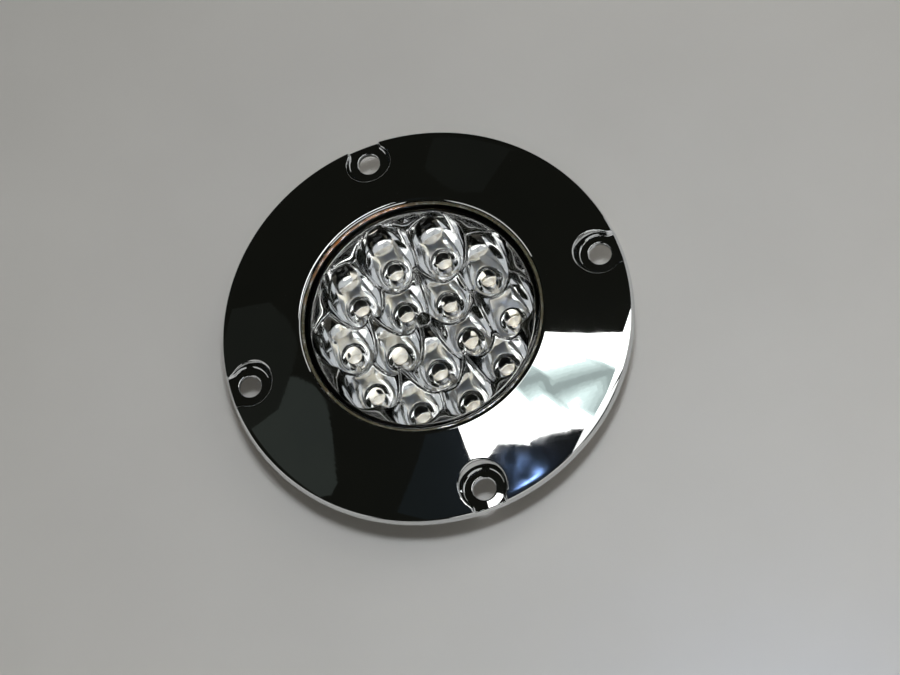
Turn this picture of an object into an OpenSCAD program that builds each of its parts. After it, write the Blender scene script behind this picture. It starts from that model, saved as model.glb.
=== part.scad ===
// Round LED tail light with a chromed mounting flange, to be screwed over a hole in a panel.
// The origin is the centre of the mounting plane, where the back of the flange meets the panel.
// +Z points out of the lens. The screw holes lie on the X and Y axes. All sizes are in millimetres.

/* [Bezel] */
// Diameter of the flange at its upper edge
flange_d = 127; // [126:0.5:130]
// Amount by which the rim widens, on the radius, from its upper edge down to the panel
rim_draft = 0.5; // [0:0.1:1]
// Height of the rim's upper edge above the panel
rim_h = 2.5; // [2.3:0.1:3]
// Radius that rounds the rim's upper edge
rim_edge_r = 0.6; // [0.4:0.1:1]
// Diameter of the opening that shows the lens
opening_d = 74.4; // [74:0.1:75]
// Height of the sloping face above the panel, measured at the opening
crown_h = 8.6; // [8.4:0.1:9]
// Radius of the rolled lip around the opening
lip_r = 1.2; // [0.8:0.1:1.4]
// Wall thickness of the moulded shell
shell_t = 2; // [1.6:0.1:2.2]
// Width of the solid ring at the rim
rim_land = 2.4; // [2:0.1:3]
// Number of stiffening ribs behind the face
rib_count = 12; // [4:4:20]
// Thickness of each stiffening rib
rib_t = 1.4; // [1:0.1:2]

/* [Screw pads] */
// Number of mounting screws
screw_count = 4; // [4:1:4]
// Diameter of the circle through the screw holes
hole_circle_d = 114.3; // [114:0.1:114.6]
// Diameter of each screw hole
hole_d = 6.8; // [6.4:0.1:7]
// Height of the pad's floor above the panel
pad_floor_z = 1.8; // [1.6:0.1:2]
// Diameter of the pad's flat floor
pad_floor_d = 12.4; // [12:0.1:13]
// Diameter of the pad's recess at the height of the crown
pad_mouth_d = 18; // [17:0.1:19]
// Width of the gap through which the recess runs out to the rim
pad_gap_w = 9.6; // [9:0.1:10]
// Diameter of the boss that carries the pad
pad_boss_d = 18.4; // [18:0.1:19]

/* [Lens] */
// Diameter of the clear lens
lens_d = 72.8; // [72.6:0.1:73]
// Thickness of the lens, with the lip that it stands on
lens_t = 2.4; // [2.2:0.1:2.6]
// Height of the lip under the edge of the lens
lens_lip_h = 0.4; // [0.3:0.1:0.5]
// Height of the sealant in the gap around the lens
seal_h = 1.4; // [1:0.1:1.8]

/* [Housing] */
// Depth of the housing behind the panel
housing_depth = 30; // [29.5:0.1:32]
// Diameter of the housing where it passes through the panel
housing_d = 75; // [75:0.1:75.4]
// Wall thickness of the housing
housing_t = 2.2; // [2:0.1:2.2]
// Chamfer around the back edge of the housing
back_chamfer = 1.5; // [1:0.1:2]
// Diameter of the housing's flange, which the bezel is bonded to
collar_d = 84; // [83.6:0.1:84]
// Thickness of that flange
collar_t = 2; // [1.8:0.1:2.2]
// Height of that flange's upper face above the panel
collar_top_z = 5.2; // [5.1:0.1:5.2]
// Thickness of the bond between the housing and the bezel
bond_t = 0.4; // [0.3:0.1:0.5]
// Depth of the ring-shaped recess in the back of the housing
back_recess = 1; // [0.6:0.1:1.2]

/* [Gasket] */
// Outer diameter of the foam gasket behind the flange
gasket_d = 95; // [90:1:95]

/* [Plug socket] */
// Width of the socket's mouth
socket_w = 15; // [14.6:0.1:15]
// Height of the socket's mouth
socket_h = 12; // [12:0.1:12.2]
// Depth of the socket
socket_depth = 7.6; // [7.4:0.1:7.6]
// Wall thickness around the socket
socket_t = 1.4; // [1.2:0.1:1.4]
// Corner radius on the socket's key side
socket_key_r = 5; // [4:0.5:5]
// Corner radius on its other side
socket_plain_r = 2; // [2:0.1:3]
// Diameter of each terminal pin
pin_d = 2; // [1.8:0.1:2]
// Distance from one terminal pin to the next
pin_pitch = 4.6; // [4.4:0.1:4.6]
// Distance from the socket's mouth to the tips of the pins
pin_inset = 1; // [0.6:0.1:1.2]

/* [LEDs] */
// Number of LEDs in the outer ring
outer_count = 10; // [10:1:10]
// Radius of the outer ring
outer_ring_r = 24.9; // [24.8:0.1:25]
// Angle of the first LED in the outer ring
outer_turn = 28; // [0:1:35]
// Number of LEDs in the inner ring
inner_count = 5; // [5:1:5]
// Radius of the inner ring
inner_ring_r = 11.6; // [11.5:0.1:11.8]
// Angle of the first LED in the inner ring
inner_turn = 46; // [0:1:71]
// Diameter of an LED's clear body
led_d = 5; // [5:0.1:5]
// Height of an LED from its base to the top of its dome
led_h = 8.6; // [8.4:0.1:8.8]
// Diameter of the collar at an LED's base
led_collar_d = 5.8; // [5.6:0.1:5.8]
// Height of that collar
led_collar_h = 1; // [0.8:0.1:1]
// Thickness of an LED's square leads
lead_t = 0.5; // [0.4:0.1:0.5]
// Distance from one lead to the other
lead_pitch = 2.54; // [2.5:0.01:2.54]

/* [Reflector] */
// Diameter of the reflector
reflector_d = 70.2; // [70:0.1:70.2]
// Height of the reflector's flat top above the panel
reflector_top_z = 5; // [4.8:0.1:5]
// Wall thickness of the reflector
reflector_t = 0.6; // [0.5:0.1:0.6]
// Radius of each well at the reflector's top
well_top_r = 6.1; // [5.8:0.1:6.1]
// Radius of each well at its floor
well_floor_r = 3.4; // [3.2:0.1:3.6]

/* [Circuit board] */
// Height of the board's front face, below the panel
board_front_z = -18.6; // [-18.8:0.1:-18.6]
// Thickness of the board
board_t = 1.6; // [1.5:0.1:1.6]
// Diameter of the board
board_d = 69.2; // [69:0.1:69.6]
// Number of screws that hold the board
board_screw_count = 3; // [3:1:3]
// Radius of the circle through the board's screws
board_screw_ring_r = 30.4; // [30.2:0.1:30.5]
// Angle of the first board screw
board_screw_turn = 10; // [8:1:12]
// Number of current-limiting resistors
resistor_count = 5; // [5:1:5]

/* [Hidden] */
// Facets of a round surface
$fn = 96;
// Overshoot of a cut, so that it passes clean through
cut = 1;
// Running gap between pieces that slide together in assembly
gap = 0.1;

// Bezel
flange_r = flange_d / 2;
opening_r = opening_d / 2;
face_rise = (crown_h - rim_h) / (flange_r - opening_r);
face_slope = atan(face_rise);
lip_centre = [opening_r + lip_r, face_z(opening_r + lip_r) - lip_r / cos(face_slope)];
rim_centre = [flange_r - rim_edge_r, face_z(flange_r - rim_edge_r) - rim_edge_r / cos(face_slope)];
cavity_r = flange_r - rim_land;
seat_r = collar_d / 2 + gap;
seat_z = collar_top_z + bond_t;
rib_inner_r = gasket_d / 2 + 0.5;
rib_clear_z = 1;
pad_cone_h = crown_h - pad_floor_z;
hole_circle_r = hole_circle_d / 2;

// Lens and seal
lens_r = lens_d / 2;
lens_lip_t = lens_r - reflector_d / 2 - gap;

// Housing
housing_r = housing_d / 2;
housing_back_z = -housing_depth;
housing_inner_r = housing_r - housing_t;
floor_t = 2.2;
floor_top_z = housing_back_z + back_recess + floor_t;
foot_w = 4;
spigot_r = housing_r + 0.6;
ledge_w = 1.8;
board_boss_d = 5.2;

// Circuit board
board_back_z = board_front_z - board_t;
lead_hole_d = 0.8;
screw_shank_d = 2.4;
screw_hole_d = 2.8;
screw_head_d = 4.6;
screw_head_h = 1.8;
screw_drive_w = 0.7;
screw_length = 7;
solder_top_d = 2;
solder_tip_d = 1;
solder_h = 1.1;
pin_solder_h = 0.5;

// Socket and pins
pin_collar_d = 2.4;
pin_root_z = housing_back_z + socket_depth;
corner_steps = 8;
pin_tail_d = 1;
pin_hole_d = pin_tail_d + 0.1;
pin_tip_z = housing_back_z + pin_inset;
pin_shoulder_z = board_back_z - 0.4;
pin_top_z = board_front_z + 0.6;
pin_point_h = 0.5;

// LEDs
led_count = outer_count + inner_count;
led_r = led_d / 2;
led_top_z = board_front_z + led_h;
led_dome_z = led_top_z - led_r;
lead_tip_z = board_back_z - 1.5;
cup_floor_z = board_front_z + 3.6;
cup_top_z = cup_floor_z + 1.2;
cup_size = [1.9, 1.3];
cup_dish_d = 1.1;
cup_dish_depth = 0.5;
flag_size = [0.8, 0.9];
flag_top_z = cup_top_z + 0.3;

// Reflector
reflector_r = reflector_d / 2;
skirt_t = 1;
plate_t = 1;
skirt_r = reflector_r - skirt_t;
well_floor_z = board_front_z + 2.2;
well_hole_d = led_d + 0.4;

// Surface-mounted parts on the board's back
resistor_size = [6.3, 3.2, 0.7];
resistor_ring_r = 18.2;
diode_size = [4.4, 2.6, 2.2];
diode_tab_size = [5.4, 1.5, 0.25];
diode_ring_r = 30;
diode_turns = [70, 190];

// Angle and radius of each LED, the outer ring first
function led_turn(i) = i < outer_count
  ? outer_turn + i * 360 / outer_count
  : inner_turn + (i - outer_count) * 360 / inner_count;
function led_ring_r(i) = i < outer_count ? outer_ring_r : inner_ring_r;

// Height of the bezel's sloping face at a radius, and of the shell's underside below it
function face_z(r) = rim_h + (flange_r - r) * face_rise;
function under_z(r) = face_z(r) - shell_t / cos(face_slope);

// Points of a quarter circle around a centre, starting at an angle
function corner(centre, r, start) = [for (k = [0 : corner_steps])
  let (a = start + k * 90 / corner_steps) centre + r * [cos(a), sin(a)]];

// Names of the repeated nodes
function numbered(stem, i) = str(stem, i < 9 ? "0" : "", i + 1);

// Places its children at each screw hole, +X pointing out to the rim
module at_screw_holes() {
  for (k = [0 : screw_count - 1])
    rotate([0, 0, k * 360 / screw_count])
      translate([hole_circle_r, 0, 0])
        children();
}

// Places its children at one LED, +X pointing away from the centre
module at_led(i) {
  rotate([0, 0, led_turn(i)])
    translate([led_ring_r(i), 0, 0])
      children();
}

// Places its children at each screw of the circuit board
module at_board_screws() {
  for (k = [0 : board_screw_count - 1])
    rotate([0, 0, board_screw_turn + k * 360 / board_screw_count])
      translate([board_screw_ring_r, 0, 0])
        children();
}

// A ring between two radii, from one height up to another
module ring(outer_r, inner_r, low_z, high_z) {
  translate([0, 0, low_z])
    difference() {
      cylinder(r = outer_r, h = high_z - low_z);
      translate([0, 0, -cut])
        cylinder(r = inner_r, h = high_z - low_z + 2 * cut);
    }
}

// Half section of the bezel: a sloping shell with a rounded rim and a rolled lip
module bezel_section() {
  normal = [sin(face_slope), cos(face_slope)];
  difference() {
    union() {
      polygon([
        [opening_r, 0],
        [flange_r + rim_draft, 0],
        [flange_r, rim_centre[1]],
        rim_centre + rim_edge_r * normal,
        lip_centre + lip_r * normal,
        [opening_r, lip_centre[1]]
      ]);
      translate(lip_centre)
        circle(r = lip_r);
      translate(rim_centre)
        circle(r = rim_edge_r);
    }
    polygon([
      [opening_r - cut, -cut],
      [cavity_r, -cut],
      [cavity_r, under_z(cavity_r)],
      [seat_r, under_z(seat_r)],
      [seat_r, seat_z],
      [opening_r - cut, seat_z]
    ]);
  }
}

// Half section of the space under the sloping face, which bosses and ribs stay inside
module under_face_section() {
  polygon([
    [seat_r, 0],
    [flange_r - rim_edge_r, 0],
    [flange_r - rim_edge_r, under_z(flange_r - rim_edge_r) + shell_t / 2],
    [seat_r, under_z(seat_r) + shell_t / 2]
  ]);
}

// The recess above one pad: a flaring pocket that runs out through the rim
module pad_recess() {
  translate([0, 0, pad_floor_z])
    cylinder(d1 = pad_floor_d, d2 = pad_mouth_d, h = pad_cone_h);
  translate([0, -pad_gap_w / 2, pad_floor_z])
    cube([pad_floor_d, pad_gap_w, pad_cone_h]);
}

module bezel() {
  color("silver")
    difference() {
      union() {
        rotate_extrude()
          bezel_section();
        intersection() {
          rotate_extrude()
            under_face_section();
          union() {
            at_screw_holes()
              cylinder(d = pad_boss_d, h = crown_h);
            for (k = [0 : rib_count - 1])
              rotate([0, 0, (k + 0.5) * 360 / rib_count])
                translate([rib_inner_r, -rib_t / 2, rib_clear_z])
                  cube([flange_r - rib_inner_r, rib_t, crown_h]);
          }
        }
      }
      at_screw_holes()
        pad_recess();
      at_screw_holes()
        translate([0, 0, -cut])
          cylinder(d = hole_d, h = crown_h);
    }
}

module lens() {
  color("lightcyan", 0.4)
    difference() {
      translate([0, 0, collar_top_z])
        cylinder(r = lens_r, h = lens_t);
      translate([0, 0, collar_top_z - cut])
        cylinder(r = lens_r - lens_lip_t, h = lens_lip_h + cut);
    }
}

module lens_seal() {
  color("sienna")
    ring(opening_r, lens_r, collar_top_z, collar_top_z + seal_h);
}

module bezel_bond() {
  color("dimgray")
    ring(seat_r - gap, opening_r, collar_top_z, seat_z);
}

// Half section of one well, from its floor to just past the reflector's top
module well_section() {
  polygon([
    [0, well_floor_z],
    [well_floor_r, well_floor_z],
    [well_top_r, reflector_top_z],
    [well_top_r, reflector_top_z + cut],
    [0, reflector_top_z + cut]
  ]);
}

// Half section of the cup around one well, which ends inside the top plate
module cup_section() {
  polygon([
    [0, well_floor_z - reflector_t],
    [well_floor_r + reflector_t, well_floor_z - reflector_t],
    [well_floor_r + reflector_t, well_floor_z],
    [well_top_r + reflector_t, reflector_top_z - plate_t / 2],
    [0, reflector_top_z - plate_t / 2]
  ]);
}

// Half section of the reflector's top plate and of the skirt that stands on the circuit board
module plate_section() {
  polygon([
    [0, reflector_top_z - plate_t],
    [skirt_r, reflector_top_z - plate_t],
    [skirt_r, board_front_z],
    [reflector_r, board_front_z],
    [reflector_r, reflector_top_z],
    [0, reflector_top_z]
  ]);
}

module reflector() {
  color("gainsboro")
    difference() {
      union() {
        rotate_extrude()
          plate_section();
        for (i = [0 : led_count - 1])
          at_led(i)
            rotate_extrude()
              cup_section();
      }
      for (i = [0 : led_count - 1])
        at_led(i) {
          rotate_extrude()
            well_section();
          translate([0, 0, well_floor_z - 2 * reflector_t])
            cylinder(d = well_hole_d, h = 3 * reflector_t);
        }
    }
}

// The two metal leads of an LED: one ends in the cup that holds the chip, the other in a flag
module leadframe_shape() {
  for (side = [-1, 1])
    translate([-lead_t / 2, side * lead_pitch / 2 - lead_t / 2, lead_tip_z])
      cube([lead_t, lead_t, cup_floor_z - lead_tip_z]);
  difference() {
    translate([-cup_size[1] / 2, -lead_pitch / 2 - lead_t / 2, cup_floor_z])
      cube([cup_size[1], cup_size[0], cup_top_z - cup_floor_z]);
    translate([0, 0, cup_top_z - cup_dish_depth])
      cylinder(d = cup_dish_d, h = cut);
  }
  translate([-flag_size[1] / 2, lead_pitch / 2 + lead_t / 2 - flag_size[0], cup_floor_z])
    cube([flag_size[1], flag_size[0], flag_top_z - cup_floor_z]);
}

module led(i) {
  color("white", 0.5)
    at_led(i)
      difference() {
        union() {
          translate([0, 0, board_front_z])
            cylinder(d = led_collar_d, h = led_collar_h);
          translate([0, 0, board_front_z])
            cylinder(r = led_r, h = led_dome_z - board_front_z);
          translate([0, 0, led_dome_z])
            sphere(r = led_r);
        }
        leadframe_shape();
      }
}

module leadframe(i) {
  color("lightgray")
    at_led(i)
      leadframe_shape();
}

module circuit_board() {
  color("darkgreen")
    difference() {
      translate([0, 0, board_back_z])
        cylinder(d = board_d, h = board_t);
      for (i = [0 : led_count - 1])
        at_led(i)
          for (side = [-1, 1])
            translate([0, side * lead_pitch / 2, board_back_z - cut])
              cylinder(d = lead_hole_d, h = board_t + 2 * cut);
      for (k = [-1 : 1])
        translate([k * pin_pitch, 0, board_back_z - cut])
          cylinder(d = pin_hole_d, h = board_t + 2 * cut);
      at_board_screws()
        translate([0, 0, board_back_z - cut])
          cylinder(d = screw_hole_d, h = board_t + 2 * cut);
    }
}

// Solder on the board's back around each LED lead, and on its front around each terminal pin
module solder_joints() {
  color("lightsteelblue") {
    for (i = [0 : led_count - 1])
      at_led(i)
        for (side = [-1, 1])
          translate([0, side * lead_pitch / 2, board_back_z - solder_h])
            difference() {
              cylinder(d1 = solder_tip_d, d2 = solder_top_d, h = solder_h);
              translate([-lead_t / 2, -lead_t / 2, -cut])
                cube([lead_t, lead_t, solder_h + 2 * cut]);
            }
    for (k = [-1 : 1])
      translate([k * pin_pitch, 0, board_front_z])
        difference() {
          cylinder(d1 = solder_top_d, d2 = pin_tail_d + 2 * gap, h = pin_solder_h);
          translate([0, 0, -cut])
            cylinder(d = pin_tail_d, h = pin_solder_h + 2 * cut);
        }
  }
}

module resistor(i) {
  color("black")
    rotate([0, 0, inner_turn + (i + 0.5) * 360 / resistor_count])
      translate([resistor_ring_r, 0, board_back_z])
        translate([-resistor_size[1] / 2, -resistor_size[0] / 2, -resistor_size[2]])
          cube([resistor_size[1], resistor_size[0], resistor_size[2]]);
}

module diode(turn) {
  color("dimgray")
    rotate([0, 0, turn])
      translate([diode_ring_r, 0, board_back_z]) {
        translate([-diode_size[1] / 2, -diode_size[0] / 2, -diode_size[2]])
          cube([diode_size[1], diode_size[0], diode_size[2]]);
        translate([-diode_tab_size[1] / 2, -diode_tab_size[0] / 2, -diode_tab_size[2]])
          cube([diode_tab_size[1], diode_tab_size[0], diode_tab_size[2]]);
      }
}

module board_screws() {
  color("gray")
    at_board_screws()
      difference() {
        union() {
          translate([0, 0, board_front_z])
            cylinder(d = screw_head_d, h = screw_head_h);
          translate([0, 0, board_front_z + screw_head_h - screw_length])
            cylinder(d = screw_shank_d - 2 * gap, h = screw_length);
        }
        for (turn = [0, 90])
          rotate([0, 0, turn])
            translate([-screw_drive_w * 2, -screw_drive_w / 2, board_front_z + screw_head_h / 2])
              cube([screw_drive_w * 4, screw_drive_w, screw_head_h]);
      }
}

// Outline of the plug socket: two tight corners and two wide ones, so that the plug fits one way only
module socket_outline(grow) {
  w = socket_w / 2 + grow;
  h = socket_h / 2 + grow;
  key = socket_key_r + grow;
  plain = socket_plain_r + grow;
  polygon(concat(
    corner([w - plain, h - plain], plain, 0),
    corner([-w + key, h - key], key, 90),
    corner([-w + key, -h + key], key, 180),
    corner([w - plain, -h + plain], plain, 270)
  ));
}

// A terminal pin: a pointed blade in the socket, a collar in the housing's wall, a tail to the board
module pin(k) {
  translate([k * pin_pitch, 0, 0])
    rotate_extrude()
      polygon([
        [0, pin_tip_z],
        [pin_tail_d / 2, pin_tip_z],
        [pin_d / 2, pin_tip_z + pin_point_h],
        [pin_d / 2, pin_root_z],
        [pin_collar_d / 2, pin_root_z],
        [pin_collar_d / 2, pin_shoulder_z],
        [pin_tail_d / 2, pin_shoulder_z],
        [pin_tail_d / 2, pin_top_z],
        [0, pin_top_z]
      ]);
}

module pin_ground() {
  color("gold")
    pin(-1);
}

module pin_tail() {
  color("gold")
    pin(0);
}

module pin_stop() {
  color("gold")
    pin(1);
}

// Half section of the housing's cup, with the flange, the ledge for the board and the foot ring
module housing_section() {
  polygon([
    [0, housing_back_z + back_recess],
    [housing_r - foot_w, housing_back_z + back_recess],
    [housing_r - foot_w, housing_back_z],
    [housing_r - back_chamfer, housing_back_z],
    [housing_r, housing_back_z + back_chamfer],
    [housing_r, 0],
    [spigot_r, 0],
    [spigot_r, collar_top_z - collar_t],
    [collar_d / 2, collar_top_z - collar_t],
    [collar_d / 2, collar_top_z],
    [housing_inner_r, collar_top_z],
    [housing_inner_r, board_back_z],
    [housing_inner_r - ledge_w, board_back_z],
    [housing_inner_r - ledge_w, floor_top_z],
    [0, floor_top_z]
  ]);
}

module housing() {
  color("#222222")
    difference() {
      union() {
        rotate_extrude()
          housing_section();
        at_board_screws()
          translate([0, 0, floor_top_z - floor_t / 2])
            cylinder(d = board_boss_d, h = board_back_z - floor_top_z + floor_t / 2);
        translate([0, 0, housing_back_z])
          linear_extrude(height = socket_depth + socket_t)
            socket_outline(socket_t);
      }
      translate([0, 0, housing_back_z - cut])
        linear_extrude(height = socket_depth + cut)
          socket_outline(0);
      for (k = [-1 : 1])
        translate([k * pin_pitch, 0, housing_back_z])
          cylinder(d = pin_collar_d, h = socket_depth + 2 * socket_t);
      at_board_screws()
        translate([0, 0, board_front_z + screw_head_h - screw_length])
          cylinder(d = screw_shank_d, h = screw_length);
    }
}

module mounting_gasket() {
  color("#333333")
    ring(gasket_d / 2, spigot_r + gap, 0, collar_top_z - collar_t);
}

bezel();
lens();
lens_seal();
bezel_bond();
reflector();
for (i = [0 : led_count - 1])
  led(i);
for (i = [0 : led_count - 1])
  leadframe(i);
circuit_board();
solder_joints();
for (i = [0 : resistor_count - 1])
  resistor(i);
diode(diode_turns[0]);  // diode_tail
diode(diode_turns[1]);  // diode_stop
board_screws();
pin_ground();
pin_tail();
pin_stop();
housing();
mounting_gasket();
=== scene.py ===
import math

import bmesh
import bpy
import numpy as np
from mathutils import Matrix, Vector
from mathutils.geometry import delaunay_2d_cdt
from mathutils.kdtree import KDTree


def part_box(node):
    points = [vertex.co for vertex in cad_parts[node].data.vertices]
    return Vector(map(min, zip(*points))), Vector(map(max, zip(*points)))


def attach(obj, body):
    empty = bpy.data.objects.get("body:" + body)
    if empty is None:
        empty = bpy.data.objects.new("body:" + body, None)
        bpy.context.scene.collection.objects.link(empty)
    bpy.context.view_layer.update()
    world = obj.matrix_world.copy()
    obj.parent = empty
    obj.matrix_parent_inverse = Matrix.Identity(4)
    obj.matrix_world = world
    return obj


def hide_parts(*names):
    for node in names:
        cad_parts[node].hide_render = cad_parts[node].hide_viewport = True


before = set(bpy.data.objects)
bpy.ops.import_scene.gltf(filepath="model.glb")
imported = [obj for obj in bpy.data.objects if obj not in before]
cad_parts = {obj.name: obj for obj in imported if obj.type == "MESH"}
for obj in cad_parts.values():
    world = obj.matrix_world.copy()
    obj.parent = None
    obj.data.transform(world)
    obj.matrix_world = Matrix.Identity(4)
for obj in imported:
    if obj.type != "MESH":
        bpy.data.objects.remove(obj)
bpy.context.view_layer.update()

# Shapes are worked out in millimetres, with the origin at the centre of the mounting plane and +Z out of the
# lens. make_piece turns them into metres.
MM = 0.001
MERGE = 0.002           # points closer than this are one point

# Corners of the CAD nodes that finer meshes stand for
bezel_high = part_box("bezel")[1] / MM
housing_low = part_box("housing")[0] / MM
lens_low, lens_high = (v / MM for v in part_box("lens"))
seal_low, seal_high = (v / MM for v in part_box("lens_seal"))
reflector_low, reflector_high = (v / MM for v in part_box("reflector"))
gasket_low, gasket_high = (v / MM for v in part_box("mounting_gasket"))
bond_low, bond_high = (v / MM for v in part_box("bezel_bond"))
BASE_R = bezel_high.x
LENS_R = lens_high.x
REFLECTOR_R = reflector_high.x
BOARD_Z = reflector_low.z

# Bezel: its front
RIM_DRAFT = 0.5         # how far the rim widens, on the radius, from its upper edge down to the panel
FLANGE_R = BASE_R - RIM_DRAFT
RIM_H = 2.5             # height of the rim's upper edge
RIM_EDGE = 0.6          # radius of that edge
RIM_STEPS = 5
FOOT_EDGE = 0.3         # size of the rounded edge at the panel
FOOT_BEND = 0.3         # where that edge bends, as a share of its size
OPENING_R = 37.2
CROWN_H = 8.6           # height that the sloping face would reach at the opening
FACE_RISE = (CROWN_H - RIM_H) / (FLANGE_R - OPENING_R)
FACE_SLOPE = math.atan(FACE_RISE)
LIP_R = 1.2             # radius of the rolled lip round the opening
LIP_CENTRE_R = OPENING_R + LIP_R
FACE_IN_R = LIP_CENTRE_R + LIP_R * math.sin(FACE_SLOPE)             # where the face meets the lip
FACE_OUT_R = FLANGE_R - RIM_EDGE + RIM_EDGE * math.sin(FACE_SLOPE)  # where it meets the rim's edge
FACE_RINGS = 12
ROLL_W = 2.2            # width of the zone in which the face rolls off towards the rim
ROLL_BEND = 0.022       # and how much it bends there

# Bezel: its back
SHELL_T = 2.0
CAVITY_R = FLANGE_R - 2.4
SEAT_Z = bond_high.z    # the ring that the bond holds
SEAT_R = bond_high.x
SEAT_EDGE = 0.1
WALL_DRAFT = 0.15       # how far the walls behind the face lean over their height
WALL_GAP = 0.4          # mesh rings keep this far from those walls
UNDER_RINGS = (SEAT_R, 44, 47, 50, 53, 56, 59)
BOSS_R = 9.2
RIB_COUNT = 12
RIB_T = 1.4
RIB_INNER_R = gasket_high.x + 0.5
RIB_Z = 1.0

# Screw pads
PAD_COUNT = 4
HOLE_RING_R = 57.15     # 4.5 in circle
HOLE_R = 3.4
HOLE_EDGE = 0.5         # rounding at the top of a screw hole
HOLE_TOP_R = HOLE_R + HOLE_EDGE
HOLE_FOOT = 0.3         # bevel at its bottom
HOLE_SIDES = 96
PAD_Z = 1.8             # height of a pad's floor
PAD_R = 6.2
PAD_SLOT = 4.8          # half the width of the gap through which the pad runs out to the rim
PAD_WALL = 2.43         # steepness of the wall round the floor
PAD_FALL = 0.14         # slope of the floor away from the hole
PAD_CORNER = 0.5        # rounding where circle and gap meet
PAD_FILLET = 0.7        # rounding at the foot of the wall
PAD_BREAK = 0.5         # rounding at its top
PAD_ZONE = PAD_R + 3.6  # radius of the finer mesh round a hole
PAD_SIDES, PAD_RINGS = 120, 34
PAD_ZONE_GAP, PAD_RIM_GAP = 0.2, 0.15

# Reflector
LED_COUNT = 15
WELL_TOP_R = 9.4        # radius at which a lone well would reach the plate
WELL_HOLE_R = 2.56
WELL_FLOOR_Z = BOARD_Z + 2.2
WELL_LOW_Z = BOARD_Z + 1.8
WELL_FLOOR_RISE = 0.15
WELL_FILLET = 0.5
WELL_BLEND = 1.2        # rounding of the ridge between two wells
WELL_EDGE = 1.2         # rounding of a well's upper edge
WELL_SIDES = 96
WELL_LIP_GAP = 0.24     # the even rings stop here, and finer ones follow the edge
WELL_LIP_RINGS = (-0.14, -0.07, 0, 0.07, 0.14, 0.3, 0.6)
PLATE_Z = 2.4           # height of the flat between the wells
PLATE_RINGS, PLATE_STEP, PLATE_GAP = 11, 0.7, 0.8
REFLECTOR_T = 0.6
SKIRT_T = 1.0
BEAD_R = 34.5           # raised bead round the wells
BEAD_W = 0.6
BEAD_RINGS = (33.9, 34.05, 34.2, 34.35, 34.5, 34.65, 34.8, 34.95)
TOP_RINGS, TOP_GAP = 32, 0.05
BACK_RINGS, BACK_GAP = 14, 0.2

# LEDs
LED_R = 2.5
LED_H = 8.6
LED_COLLAR_R = 2.9
LED_COLLAR_H = 1.0
LED_EDGE = 0.1
CUP_R = 1.0
CUP_Z = BOARD_Z + 2.9
CUP_H = 1.1
LEAD_Y = 1.27           # half the usual pitch of 2.54
LEAD_HALF = 0.25        # half a lead's thickness
LEAD_DROP = 3.1         # how far the leads reach below the board's face

# Lens, sealant and gasket
LENS_EDGE = 0.7
LENS_BEVEL = 0.1
LENS_LIP_H = 0.4        # the lip on which the lens stands
LENS_LIP_GAP = 0.1      # from the reflector
SEAL_GAP = 0.01         # keeps the bead off the lens and the bezel
SEAL_WAVES = 9
GASKET_INNER_R = 38.2
GASKET_EDGE = 0.35

# Lights and camera
CEILING_Z = 1000
FLASH_SIZE = (46, 30)
FLASH_RISE = 87         # the flash sits this far above the camera's lens
FLOOR_HALF = 3000


# Geometry

def smooth_min(a, b, k):
    """The smaller of a and b, with the crease between them rounded over a difference of k."""
    overlap = np.maximum(k - np.abs(a - b), 0) / k
    return np.minimum(a, b) - overlap * overlap * k / 4


def circle_points(radius, angles, centre=(0, 0)):
    """Points on a circle, as (x, y) pairs."""
    return [(centre[0] + radius * math.cos(a), centre[1] + radius * math.sin(a)) for a in angles]


def even_angles(count, start=0.0):
    return [start + math.tau * k / count for k in range(count)]


def arc(centre, radius, start_deg, end_deg, steps):
    """Points of an arc in a (radius, height) section; angle 0 points away from the axis and 90 up."""
    angles = [math.radians(start_deg + (end_deg - start_deg) * k / steps) for k in range(steps + 1)]
    return circle_points(radius, angles, centre)


def spokes(x, y, count, start=0.0):
    """Distances along and across the nearest of count evenly spaced spokes, the first of which lies start
    pitches from +X."""
    pitch = math.tau / count
    angle = np.arctan2(y, x)
    local = angle - (np.round(angle / pitch - start) + start) * pitch
    radius = np.hypot(x, y)
    return radius * np.cos(local), radius * np.sin(local)


def without_normals(points, faces):
    return points, [(0, 0, 0)] * len(points), faces


def join_rows(rows, closed=False):
    """Faces between rows of points. Each row is a closed loop of (x, y, z), all of the same length."""
    count = len(rows[0])
    faces = []
    for i in range(len(rows) if closed else len(rows) - 1):
        row, after = i * count, (i + 1) % len(rows) * count
        for j in range(count):
            side = (j + 1) % count
            faces.append((row + j, row + side, after + side, after + j))
    return without_normals([p for row in rows for p in row], faces)


def revolve(profile, angles, centre=(0, 0), closed=False):
    """Faces swept round a vertical axis by a section's (radius, height) points."""
    rows = [[(x, y, z) for x, y in circle_points(r, angles, centre)] for r, z in profile]
    return join_rows(rows, closed)


def box_patch(low, high):
    """The six faces of a small box."""
    (x0, y0, z0), (x1, y1, z1) = low, high
    points = [(x, y, z) for z in (z0, z1) for y in (y0, y1) for x in (x0, x1)]
    faces = [(0, 1, 3, 2), (4, 5, 7, 6), (0, 1, 5, 4), (2, 3, 7, 6), (0, 2, 6, 4), (1, 3, 7, 5)]
    return without_normals(points, faces)


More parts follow.
